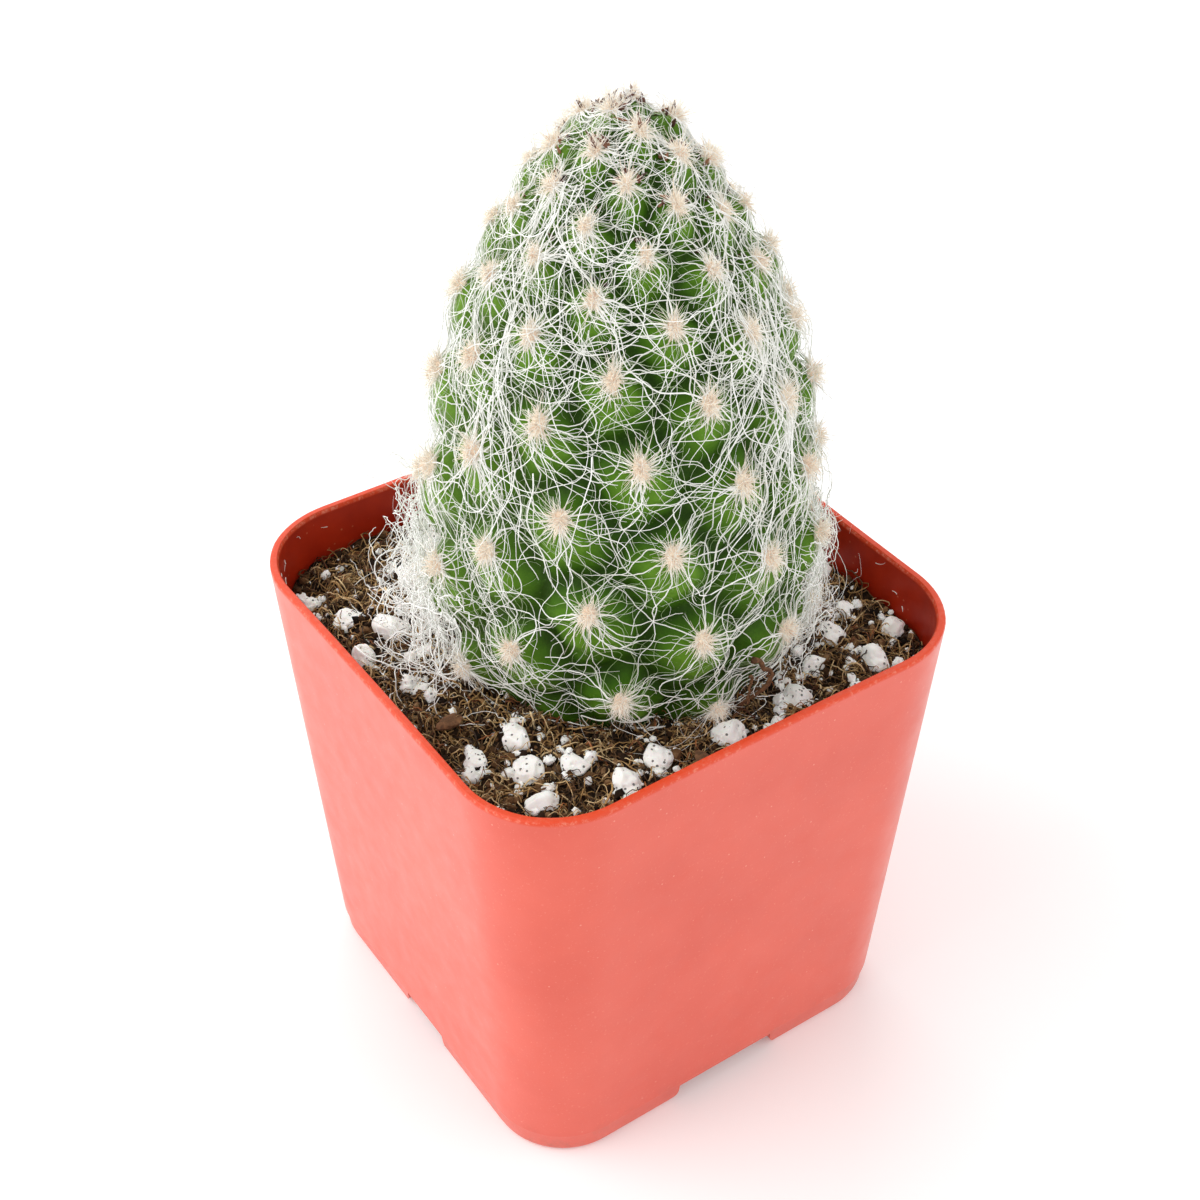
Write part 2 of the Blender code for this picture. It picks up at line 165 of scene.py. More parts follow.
def tubes(name, paths, radii, surface, slot, sides=3, tint=None):
    """Tapering tubes along paths (n, k, 3), with radii (n, k), as one object."""
    n, k, _ = paths.shape
    along = np.gradient(paths, axis=1)
    along /= np.linalg.norm(along, axis=2, keepdims=True) + 1e-9
    guide = default_rng(5).normal(size=(n, 1, 3))
    across = np.cross(along, guide)
    across /= np.linalg.norm(across, axis=2, keepdims=True) + 1e-9
    other = np.cross(along, across)
    turns = np.arange(sides) * TURN / sides
    ring = across[:, :, None] * np.cos(turns)[:, None] + other[:, :, None] * np.sin(turns)[:, None]
    points = (paths[:, :, None] + ring * radii[:, :, None, None]).reshape(-1, 3)
    starts = (np.arange(n) * k * sides)[:, None]
    quads = (grid_faces(k, sides) + starts[:, None]).reshape(-1, 4)
    first = np.arange(sides)[::-1] + starts
    last = np.arange(sides) + (k - 1) * sides + starts
    looks = {} if tint is None else {"tint": np.repeat(tint, k * sides)}
    return mesh_object(name, points, [quads, first, last], surface, slot, looks)


def waves(points, size, seed, count=26):
    """A smooth random field over points, about -1 to 1, with features of a size."""
    rng = default_rng(seed)
    way = rng.normal(size=(count, points.shape[-1]))
    way /= np.linalg.norm(way, axis=1, keepdims=True)
    way *= rng.uniform(0.6, 1.5, (count, 1)) * TURN / size
    phase = rng.uniform(0, TURN, count)
    total = np.zeros(points.shape[:-1])
    for w, p in zip(way, phase):
        total += np.cos(points @ w + p)
    return total / math.sqrt(count * 1.4)


def smooth_step(value):
    value = np.clip(value, 0, 1)
    return value * value * (3 - 2 * value)


# ---- materials


class Surface:
    """A Principled material and short calls for its nodes."""

    def __init__(self, name, **sockets):
        self.material = bpy.data.materials.new(name)
        self.material.use_nodes = True
        self.tree = self.material.node_tree
        self.shader = self.tree.nodes["Principled BSDF"]
        for key, value in sockets.items():
            self.shader.inputs[key.replace("_", " ")].default_value = value

    def node(self, kind, inputs=None, **settings):
        made = self.tree.nodes.new(kind)
        for key, value in settings.items():
            setattr(made, key, value)
        for key, value in (inputs or {}).items():
            if isinstance(value, bpy.types.NodeSocket):
                self.tree.links.new(value, made.inputs[key])
            else:
                made.inputs[key].default_value = value
        return made

    def place(self):
        """The spot in the object's own space, in metres."""
        return self.node("ShaderNodeTexCoord").outputs["Object"]

    def texture(self, kind, size, **more):
        return self.node(kind, {"Vector": self.place(), "Scale": 1 / (size * MM), **more})

    def noise(self, size, detail=4.0, roughness=0.55):
        """Noise with features of a size in millimetres."""
        made = self.texture("ShaderNodeTexNoise", size, Detail=detail, Roughness=roughness)
        return made.outputs["Fac"]

    def cells(self, size):
        """Distance to the nearest of scattered points, about size apart."""
        return self.texture("ShaderNodeTexVoronoi", size).outputs["Distance"]

    def attribute(self, name):
        return self.node("ShaderNodeAttribute", attribute_name=name).outputs["Fac"]

    def height(self, low, high, to_low=0.0, to_high=1.0):
        """A value that changes from to_low to to_high between two heights in millimetres."""
        split = self.node("ShaderNodeSeparateXYZ", {"Vector": self.place()})
        return self.range(split.outputs["Z"], low * MM, high * MM, to_low, to_high)

    def ramp(self, factor, *stops):
        """A colour from stops (position, colour)."""
        made = self.node("ShaderNodeValToRGB", {"Fac": factor})
        elements = made.color_ramp.elements
        while len(elements) < len(stops):
            elements.new(1.0)
        for element, (position, colour) in zip(elements, stops):
            element.position = position
            element.color = (*colour, 1.0)
        return made.outputs["Color"]

    def range(self, value, low, high, to_low=0.0, to_high=1.0):
        inputs = {"Value": value, "From Min": low, "From Max": high}
        inputs.update({"To Min": to_low, "To Max": to_high})
        return self.node("ShaderNodeMapRange", inputs).outputs["Result"]

    def math(self, operation, a, b):
        made = self.node("ShaderNodeMath", {0: a, 1: b}, operation=operation)
        return made.outputs["Value"]

    def times(self, a, b):
        return self.math("MULTIPLY", a, b)

    def mix(self, factor, a, b):
        """Colour a, or b where the factor is 1."""
        if not isinstance(b, bpy.types.NodeSocket):
            b = (*b, 1.0)
        return self.node("ShaderNodeMix", {0: factor, 6: a, 7: b}, data_type="RGBA").outputs[2]

    def glow(self, strength, colour=(1.0, 0.98, 0.94)):
        self.shader.inputs["Emission Color"].default_value = (*colour, 1.0)
        self.shader.inputs["Emission Strength"].default_value = strength

    def bump(self, value, depth, strength=1.0):
        """Bump of a depth in millimetres, on top of any bump there already."""
        inputs = {"Height": value, "Distance": depth * MM, "Strength": strength}
        normal = self.shader.inputs["Normal"]
        if normal.is_linked:
            inputs["Normal"] = normal.links[0].from_socket
        made = self.node("ShaderNodeBump", inputs)
        self.tree.links.new(made.outputs["Normal"], normal)

    def set(self, socket, value):
        self.tree.links.new(value, self.shader.inputs[socket])


def pot_surface():
    """Salmon plastic: blotches, fine speckle, pores, a deeper red rim with light flecks on its outer
    edge, partly wear and partly a painted highlight, painted shade darkening the inside, and dusty feet.
    """
    s = Surface("salmon_plastic", Coat_Roughness=0.35, Specular_IOR_Level=0.28)
    inside = s.attribute("inside")
    base = s.ramp(s.noise(14, 3), (0.3, (0.74, 0.087, 0.046)), (0.7, (0.81, 0.112, 0.064)))
    speckle = s.range(s.noise(0.35, 2, 0.7), 0.62, 0.78)
    base = s.mix(s.times(speckle, 0.35), base, (0.95, 0.36, 0.26))
    pores = s.range(s.cells(1.6), 0.0, 0.09, 1.0, 0.0)
    chosen = s.math("GREATER_THAN", s.noise(4.0, 1), 0.55)
    base = s.mix(s.times(s.times(pores, chosen), 0.6), base, (0.98, 0.62, 0.5))
    # Painted shade: the inside walls get a darker, deeper red, with a few lighter marks.
    painted_shade_inside = s.ramp(s.noise(5, 4), (0.3, (0.40, 0.016, 0.003)), (0.7, (0.54, 0.029, 0.006)))
    marks = s.range(s.cells(1.3), 0.04, 0.14, 1.0, 0.0)
    marks = s.times(marks, s.range(s.noise(3.0, 2), 0.46, 0.52))
    painted_shade_inside = s.mix(s.times(marks, 0.45), painted_shade_inside, (0.80, 0.30, 0.18))
    base = s.mix(inside, base, painted_shade_inside)
    rim = s.height(POT_HEIGHT - 0.62, POT_HEIGHT - 0.34)
    base = s.mix(s.times(rim, 0.85), base, (0.80, 0.072, 0.022))
    # Light flecks along the rim's outer edge: partly wear, partly a painted highlight.
    wear_and_highlight = s.range(s.noise(0.7, 5, 0.75), 0.50, 0.62)
    edge = s.height(POT_HEIGHT - 0.55, POT_HEIGHT - 0.35)
    above = s.height(POT_HEIGHT - 0.12, POT_HEIGHT - 0.03, 1.0, 0.25)
    wear_and_highlight = s.times(s.times(wear_and_highlight, edge), above)
    base = s.mix(s.times(wear_and_highlight, 0.3), base, (0.95, 0.52, 0.38))
    low = s.height(0.2, 5.5, 1.0, 0.0)
    dust = s.times(low, s.range(s.noise(2.4, 6, 0.7), 0.5, 0.72))
    base = s.mix(s.times(dust, 0.5), base, (0.40, 0.10, 0.06))
    s.set("Base Color", base)
    s.set("Roughness", s.range(s.noise(3.0, 5), 0.3, 0.7, 0.34, 0.48))
    plain = s.math("MAXIMUM", inside, rim)
    s.set("Coat Weight", s.range(plain, 0.0, 1.0, 0.55, 0.0))
    s.bump(s.noise(0.9, 4), 0.02, 0.5)
    s.bump(s.noise(9.0, 2), 0.15, 0.35)
    return s.material


def stem_surface():
    """Waxy green skin, with painted shade darkening the creases and painted light making the tubercles
    lighter and yellower.
    """
    under_skin = {"Subsurface_Weight": 0.15, "Subsurface_Scale": 0.0018}
    under_skin["Subsurface_Radius"] = (0.5, 1.0, 0.25)
    s = Surface("stem_skin", Roughness=0.55, Specular_IOR_Level=0.12, **under_skin)
    relief = s.attribute("relief")
    shade_and_mottling = s.math("ADD", relief, s.range(s.noise(2.6, 5), 0.3, 0.7, -0.16, 0.16))
    # The ramp paints shade into the creases and light on to the tubercle tops, with some random
    # mottling.
    base = s.ramp(
        shade_and_mottling,
        (0.0, (0.017, 0.052, 0.002)),
        (0.35, (0.042, 0.122, 0.004)),
        (0.7, (0.067, 0.172, 0.007)),
        (1.0, (0.118, 0.262, 0.019)),
    )
    # Painted light: a paler green towards the sides of the stem.
    base = s.mix(s.attribute("pale"), base, (0.24, 0.42, 0.06))
    flecks = s.range(s.cells(0.7), 0.0, 0.16, 1.0, 0.0)
    base = s.mix(s.times(flecks, 0.16), base, (0.40, 0.58, 0.22))
    s.set("Base Color", base)
    s.bump(s.cells(0.5), 0.05, 0.4)
    s.bump(s.noise(1.4, 4), 0.25, 0.5)
    return s.material


def strand_surface(name, stops, roughness, glow=None, **sockets):
    """For hairs, spines, felt and fibres: a colour by strand from its tint, with a fine grain."""
    s = Surface(name, Roughness=roughness, **sockets)
    # The glow is painted light, which keeps the strands bright where they are shaded.
    if glow:
        s.glow(glow)
    shade = s.math("ADD", s.attribute("tint"), s.range(s.noise(0.8, 2), 0.3, 0.7, -0.12, 0.12))
    s.set("Base Color", s.ramp(shade, *stops))
    return s.material


def mix_surface():
    """Damp peat: dark gaps, brown crumbs and a few golden bits."""
    s = Surface("peat", Roughness=0.95, Specular_IOR_Level=0.2)
    base = s.ramp(
        s.noise(1.2, 8, 0.7),
        (0.35, (0.006, 0.0035, 0.002)),
        (0.52, (0.035, 0.018, 0.009)),
        (0.68, (0.12, 0.060, 0.026)),
        (0.8, (0.28, 0.16, 0.075)),
    )
    s.set("Base Color", base)
    s.bump(s.noise(0.5, 8, 0.75), 0.5, 1.0)
    return s.material


def perlite_surface():
    """White expanded grain with dark pits and a little brown dust."""
    s = Surface("perlite", Roughness=0.85, Subsurface_Weight=0.08, Subsurface_Scale=0.0006)
    # The faint glow is painted light that brightens the grains.
    s.glow(0.11, (1.0, 1.0, 0.98))
    base = s.ramp(s.noise(1.5, 5), (0.3, (0.88, 0.86, 0.81)), (0.6, (0.97, 0.96, 0.94)))
    dust = s.range(s.noise(2.2, 6, 0.7), 0.56, 0.74)
    base = s.mix(s.times(dust, 0.5), base, (0.42, 0.27, 0.14))
    pits = s.range(s.cells(0.72), 0.17, 0.25, 1.0, 0.0)
    chosen = s.range(s.noise(1.3, 2), 0.41, 0.47)
    pits = s.times(pits, chosen)
    s.set("Base Color", s.mix(pits, base, (0.035, 0.022, 0.014)))
    s.bump(s.math("SUBTRACT", s.noise(0.5, 5), pits), 0.12, 0.8)
    return s.material


def bark_surface():
    """Rough brown bark, for chips and the dried rootlet."""
    s = Surface("bark", Roughness=0.9)
    grain = s.noise(0.7, 6, 0.7)
    s.set("Base Color", s.ramp(grain, (0.3, (0.05, 0.02, 0.01)), (0.7, (0.30, 0.14, 0.06))))
    s.bump(grain, 0.2, 0.8)
    return s.material


def floor_surface():
    """A plain pale floor that glows a little, as on a light table."""
    s = Surface("pale_floor", Roughness=0.6, Specular_IOR_Level=0.25)
    s.glow(0.14, (1.0, 1.0, 1.0))
    pale = s.ramp(s.noise(60, 2), (0.3, (0.93, 0.93, 0.93)), (0.7, (0.95, 0.95, 0.95)))
    s.set("Base Color", pale)
    return s.material


# ---- pot


def pot_ring(z, inset, corner_steps=18, side_steps=14):
    """The pot's rounded square outline at a height, moved in by inset, a little out of true."""
    share = z / POT_HEIGHT
    half = (POT_BASE_WIDTH + (POT_TOP_WIDTH - POT_BASE_WIDTH) * share) / 2 - inset
    radius = BASE_CORNER_RADIUS + (TOP_CORNER_RADIUS - BASE_CORNER_RADIUS) * share - inset
    points = []
    for quarter in range(4):
        start = quarter * math.pi / 2
        ahead = np.array([-math.sin(start), math.cos(start)])
        out = np.array([math.cos(start), math.sin(start)])
        for step in range(side_steps):
            along = (half - radius) * (2 * step / side_steps - 1)
            points.append(out * half + ahead * along)
        corner = (out + ahead) * (half - radius)
        for step in range(corner_steps):
            angle = start + step * math.pi / 2 / corner_steps
            points.append(corner + radius * np.array([math.cos(angle), math.sin(angle)]))
    flat = np.array(points)
    # Soft plastic bows in slightly between its corners, more towards the rim.
    bow = 0.28 * smooth_step(share) * np.clip(1 - (np.abs(flat).min(1) / half) ** 2, 0, 1)
    flat *= (1 - bow / half)[:, None]
    return np.column_stack([flat, np.full(len(flat), z)])


def loft(name, rings, surface=None):
    """A closed solid through rings of equally many points. With no surface it is a cutter."""
    columns = len(rings[0])
    points = np.concatenate(rings)
    faces = [grid_faces(len(rings), columns)] + end_caps(points, columns)
    obj = mesh_object(name, points, faces, surface, "pot_plastic" if surface else None)
    if surface is None:
        obj.hide_render = True
        obj.hide_viewport = True
    return obj


def channel_section(width, grow):
    """The section (across, z) of a channel under the pot. grow thickens it."""
    radius = FOOT_END_RADIUS - grow
    side = [(width + FOOT_END_RADIUS, -FLOOR)]
    for step in range(9):
        angle = step * math.pi / 16
        x = width + FOOT_END_RADIUS - radius * math.sin(angle)
        side.append((x, FOOT_END_RADIUS - radius * math.cos(angle)))
    side.append((width + grow, CHANNEL_HEIGHT + grow))
    return side + [(-x, z) for x, z in reversed(side)]


def channel_bars(name, grow):
    """Two crossed bars under the pot, whose removal leaves the corner feet."""
    ends = (-POT_BASE_WIDTH, POT_BASE_WIDTH)
    section = channel_section(SIDE_CHANNEL_WIDTH / 2, grow)
    along_x = [np.array([(end, x, z) for x, z in section]) for end in ends]
    section = channel_section(FRONT_CHANNEL_WIDTH / 2, grow)[::-1]
    along_y = [np.array([(x, end, z) for x, z in section]) for end in ends]
    return [loft(name + "_x", along_x), loft(name + "_y", along_y)]


def cut(obj, cutters):
    for cutter in cutters:
        modifier = obj.modifiers.new("cut_" + cutter.name, "BOOLEAN")
        modifier.operation = "DIFFERENCE"
        modifier.solver = "EXACT"
        modifier.object = cutter


def make_pot():
    """The thin pot with its rounded rim, moulding line, corner feet and drain holes."""
    # Heights and insets of the outside and of the cavity, from the bottom up.
    outer = [(0.0, 1.15), (0.12, 0.75), (0.35, 0.45), (0.9, 0.27), (3.2, 0.25), (3.42, 0.2)]
    outer += [(z, 0.0) for z in np.linspace(FOOT_BAND_HEIGHT, POT_HEIGHT - 0.7, 24)]
    outer += [(POT_HEIGHT - 0.35, 0.0), (POT_HEIGHT - 0.12, 0.08), (POT_HEIGHT, 0.26)]
    inner = [(FLOOR, 1.7), (FLOOR + 0.8, 1.25)]
    inner += [(z, WALL) for z in np.linspace(FOOT_BAND_HEIGHT, POT_HEIGHT - 0.7, 16)]
    inner += [(POT_HEIGHT - 0.3, WALL), (POT_HEIGHT - 0.08, WALL - 0.1), (POT_HEIGHT + 0.3, WALL - 0.4)]
    pot = loft("pot_shell", [pot_ring(*row) for row in outer], pot_surface())
    cavity = loft("pot_cavity", [pot_ring(*row) for row in inner])
    cut(cavity, channel_bars("inner_bar", WALL))
    turns = np.linspace(0, TURN, 48, endpoint=False)
    pins = []
    drains = ((0, 0, 3.5), (17, 0, 2), (0, 17, 2), (-17, 0, 2), (0, -17, 2))
    for i, (x, y, radius) in enumerate(drains):
        circle = np.column_stack([x + radius * np.cos(turns), y + radius * np.sin(turns), turns * 0])
        pins.append(loft(f"drain_{i}", [circle + (0, 0, -3.0), circle + (0, 0, 8.0)]))
    cut(pot, [cavity] + channel_bars("outer_bar", 0.0) + pins)
    whole = pot.evaluated_get(bpy.context.evaluated_depsgraph_get())
    mesh = bpy.data.meshes.new_from_object(whole)
    pot.modifiers.clear()
    pot.data = mesh
    inside = [1.0 if v.co.xy.dot(v.normal.xy) < 0 else 0.0 for v in mesh.vertices]
    mesh.attributes.new("inside", "FLOAT", "POINT").data.foreach_set("value", inside)
    mesh.shade_smooth()
    mesh.set_sharp_from_angle(angle=math.radians(32))
    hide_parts("pot")


def from_stem(reach, angle):
    """The spot (x, y) at a reach and a bearing from the stem's middle."""
    return STEM_CENTRE[0] + reach * np.cos(angle), STEM_CENTRE[1] + reach * np.sin(angle)


def about_stem(x, y):
    """The reach and the bearing of a spot from the stem's middle."""
    x, y = x - STEM_CENTRE[0], y - STEM_CENTRE[1]
    return np.hypot(x, y), np.arctan2(y, x)


def wall_reach(angle, z, inset):
    """How far from the stem's middle the pot's outline lies in each direction."""
    ring = pot_ring(z, inset)[:, :2] - STEM_CENTRE
    bearing = np.arctan2(ring[:, 1], ring[:, 0])
    return np.interp(angle, bearing, np.linalg.norm(ring, axis=1), period=TURN)


# ---- stem


def stem_line():
    """(distance from the tip, radius, height above the mix) along the stem's meridian."""
    knots = [(0.0, -STEM_FOOT_DEPTH)] + [(r, z) for z, r in STEM_MERIDIAN] + [(0.0, STEM_HEIGHT)]
    first, last = knots[1], knots[-2]
    knots = np.array([(-first[0], first[1])] + knots + [(-last[0], last[1])])
    line = []
    for i in range(1, len(knots) - 2):
        p0, p1, p2, p3 = knots[i - 1 : i + 3]
        for t in np.arange(0, 1, 1 / 12):
            curve = 2 * p1 + (p2 - p0) * t + (2 * p0 - 5 * p1 + 4 * p2 - p3) * t**2
            line.append((curve + (3 * p1 - p0 - 3 * p2 + p3) * t**3) / 2)
    line = np.array(line + [knots[-2]])[::-1]
    length = np.concatenate([[0], np.cumsum(np.linalg.norm(np.diff(line, axis=0), axis=1))])
    return length, line[:, 0], line[:, 1]


LINE_S, LINE_R, LINE_Z = stem_line()
OUT_R = np.gradient(-LINE_Z, LINE_S)
OUT_Z = np.gradient(LINE_R, LINE_S)


def on_stem(s, angle, out):
    """Points at a distance from the tip and a bearing, moved out from the stem's envelope."""
    out = out + TIP_SWELL * np.exp(-((s / TIP_SWELL_LENGTH) ** 2))
    side = np.interp(s, LINE_S, LINE_R) + out * np.interp(s, LINE_S, OUT_R)
    z = SOIL_TOP + np.interp(s, LINE_S, LINE_Z) + out * np.interp(s, LINE_S, OUT_Z)
    return np.stack(np.broadcast_arrays(*from_stem(side, angle), z), -1)


def turning_radius(s):
    """The stem's radius, for steps round it."""
    return np.maximum(np.interp(s, LINE_S, LINE_R), 2.0)


def outward(s, angle):
    """The direction straight out of the stem's envelope."""
    side = np.interp(s, LINE_S, OUT_R)
    up = np.interp(s, LINE_S, OUT_Z)
    return np.stack(np.broadcast_arrays(side * np.cos(angle), side * np.sin(angle), up), -1)


def areole_area(s):
    return np.interp(s, *zip(*AREOLE_AREAS))


def make_areoles():
    """(distance from the tip, bearing, spacing) of every areole above the mix, newest first."""
    s = np.arange(0, LINE_S[-1], 0.1)
    covered = np.cumsum(TURN * np.interp(s, LINE_S, LINE_R) * 0.1 / areole_area(s))
    index = np.arange(int(covered[-1]))
    at = np.interp(index + 0.35, covered, s)
    above = np.interp(at, LINE_S, LINE_Z) > AREOLES_FROM
    at = at[above]
    angle = FIRST_AREOLE_ANGLE - index[above] * DIVERGENCE
    return at, angle, np.sqrt(areole_area(at))


AREOLE_S, AREOLE_ANGLE, AREOLE_SIZE = make_areoles()
PADDED = np.interp(AREOLE_S, LINE_S, LINE_Z) > PADS_FROM
PAD_S, PAD_ANGLE = AREOLE_S[PADDED], AREOLE_ANGLE[PADDED]
# Felt pads are smaller where the areoles crowd at the tip.
PAD_RADIUS = 1.28 * np.clip(AREOLE_SIZE[PADDED] / 9.0, 0.68, 1.0)


def tubercles(s, angle):
    """(relief from 0 in a crease to 1 on top, how far below the envelope the skin lies)."""
    shape = s.shape
    s, angle = s.ravel(), angle.ravel()
    radius = np.maximum(np.interp(s, LINE_S, LINE_R), 0.5)
    nearest = np.full(s.shape, 9.0)
    second = np.full(s.shape, 9.0)
    below = np.zeros(s.shape)
    for areole_s, areole_angle, size in zip(AREOLE_S, AREOLE_ANGLE, AREOLE_SIZE):
        turn = (angle - areole_angle + np.pi) % TURN - np.pi
        down = (s - areole_s) / size
        far = np.hypot(turn * radius / size / 0.95, (down - 0.28) / 1.05)
        closer = far < nearest
        second = np.where(closer, nearest, np.minimum(second, far))
        below = np.where(closer, down, below)
        nearest = np.where(closer, far, nearest)
    crease = smooth_step((second - nearest) / 0.8) ** 0.8
    height = np.interp(s, LINE_S, LINE_Z)
    towards = 1 - 0.34 * smooth_step((below + 0.1) / 0.95)
    fade = smooth_step((height + 1.0) / 4.0)
    relief = 1 - (1 - crease * towards) * fade
    depth = TUBERCLE_DEPTH * np.minimum(1, np.sqrt(areole_area(s) / TUBERCLE_FULL_AREA))
    return crease.reshape(shape), (-depth * (1 - relief)).reshape(shape)


def make_stem():
    """The whole stem, finely meshed above the mix and coarsely on its buried foot."""
    columns = 440
    soil_s = LINE_S[np.argmax(LINE_Z < -3.0)]
    buried = np.linspace(soil_s, LINE_S[-1] - 0.5, 12)[1:]
    rows = np.concatenate([np.linspace(0.25, soil_s, 200), buried])
    s, angle = np.meshgrid(rows, np.arange(columns) * TURN / columns, indexing="ij")
    crease, sunk = tubercles(s, angle)
    points = on_stem(s, angle, sunk)
    dents = 0.10 * waves(points, 3.0, 21) + 0.035 * waves(points, 1.0, 22)
    points = (points + outward(s, angle) * dents[..., None]).reshape(-1, 3)
    tip = on_stem(np.array([0.0]), np.array([0.0]), 0.0)
    foot = on_stem(LINE_S[-1:], np.array([0.0]), 0.0)
    points = np.concatenate([points, tip, foot])
    last = len(points) - 1
    k = np.arange(columns)
    after = (k + 1) % columns
    top = np.stack([k, after, np.full(columns, last - 1)], -1)
    base = (len(rows) - 1) * columns
    bottom = np.stack([base + after, base + k, np.full(columns, last)], -1)
    # Rows run down the stem, so quads are turned to face out.
    quads = grid_faces(len(rows), columns)[:, ::-1]
    crease = crease.ravel()
    # Painted light: the skin is paler towards the sides, most on the left as the camera sees it, and
    # more on the tubercles than in the creases.
    across = np.sin(angle.ravel() - MIDDLE)
    pale = 0.20 * across**2 + 0.30 * np.maximum(-across, 0) ** 2
    pale = np.concatenate([pale * (0.4 + 0.6 * crease), [0.1, 0.1]])
    # relief is 0 in the creases and 1 on the tubercles; the skin paints shade and light by it.
    looks = {"relief": np.concatenate([crease, [0.6, 0.0]]), "pale": pale}
    skin = stem_surface()
    stem = mesh_object("stem", points, [quads, top, bottom], skin, "cactus_green", looks)
    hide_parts("cactus_stem")


# ---- areoles, spines and hairs


def areole_frames():
    """(foot, outward, sideways, downward) of every padded areole."""
    foot = on_stem(PAD_S, PAD_ANGLE, -0.15)
    out = outward(PAD_S, PAD_ANGLE)
    side = np.stack([-np.sin(PAD_ANGLE), np.cos(PAD_ANGLE), PAD_ANGLE * 0], -1)
    down = np.cross(side, out)
    down *= np.where(down[:, 2] > 0, -1, 1)[:, None]
    return foot, out, side, down


def make_pads(surface):
    """Low felt cushions, a little taller than wide."""
    foot, out, side, down = areole_frames()
    rows, columns = 7, 20
    tilt = np.linspace(0.04, 1.0, rows) * math.radians(112)
    turn = np.arange(columns) * TURN / columns
    points, quads, caps = [], [], []
    for i, radius in enumerate(PAD_RADIUS):
        across = np.sin(tilt)[:, None] * np.cos(turn) * radius * 0.58
        along = np.sin(tilt)[:, None] * np.sin(turn) * radius * 0.85
        up = np.cos(tilt)[:, None] * np.ones(columns) * radius * 0.5
        dome = foot[i] + across[..., None] * side[i]
        dome = dome + along[..., None] * down[i] + up[..., None] * out[i]
        dome += 0.09 * waves(dome, 0.7, 31)[..., None] * out[i]
        start = i * rows * columns
        points.append(dome.reshape(-1, 3))
        quads.append(grid_faces(rows, columns) + start)
        caps += [cap + start for cap in end_caps(points[-1], columns)]
    tint = np.repeat(default_rng(3).uniform(0.15, 0.5, len(PAD_S)), rows * columns)
    faces = [np.concatenate(quads), np.concatenate(caps)]
    points = np.concatenate(points)
    mesh_object("areole_pads", points, faces, surface, HAIR_SLOT, {"tint": tint})


def bristles(
    name, count, lengths, spread, radius, surface, seed, start, bend=0.25, tint=(0, 1), newest=None
):
    """Short hairs or spines standing out of each pad, count of them on each.

    spread is the tilt from straight out, in degrees, and start how far out on the pad they
    stand. newest limits them to that many areoles round the tip.
    """
    rng = default_rng(seed)
    foot, out, side, down = (np.repeat(a[:newest], count, axis=0) for a in areole_frames())
    size = np.repeat(PAD_RADIUS[:newest], count)
    n = len(foot)
    tilt = np.radians(rng.uniform(*spread, n))
    turn = rng.uniform(0, TURN, n)
    flat = 0.75 * np.cos(turn)[:, None] * side + 1.1 * np.sin(turn)[:, None] * down
    way = np.cos(tilt)[:, None] * out + np.sin(tilt)[:, None] * flat
    length = rng.uniform(*lengths, n) * np.clip(size / 1.4, 0.6, 1)
    reach = start * np.sin(tilt) * rng.uniform(0.6, 1, n)
    from_pad = foot + flat * (size * reach)[:, None] + out * (0.5 * size * np.cos(tilt))[:, None]
    t = np.linspace(0, 1, 3)[:, None]
    sag = rng.normal(size=(n, 3)) * bend
    paths = from_pad[:, None] + (way[:, None] * t + sag[:, None] * t**2) * length[:, None, None]
    radii = radius * rng.uniform(0.7, 1.2, (n, 1)) * np.linspace(1, 0.3, 3)
    tubes(name, paths, radii, surface, HAIR_SLOT, 3, rng.uniform(*tint, n))


def soil_height(x, y):
    """The mix's surface, with lumps and crumbs."""
    spot = np.stack([x, y], -1)
    lumps = 0.32 * waves(spot, 9.0, 41) + 0.26 * waves(spot, 3.6, 42)
    lumps = lumps + 0.2 * np.abs(waves(spot, 1.7, 43))
    lumps += 0.1 * waves(spot, 0.8, 44)
    reach, _ = about_stem(x, y)
    return SOIL_TOP - 0.15 + lumps + 0.5 * (1 - smooth_step((reach - 17.0) / 9.0))


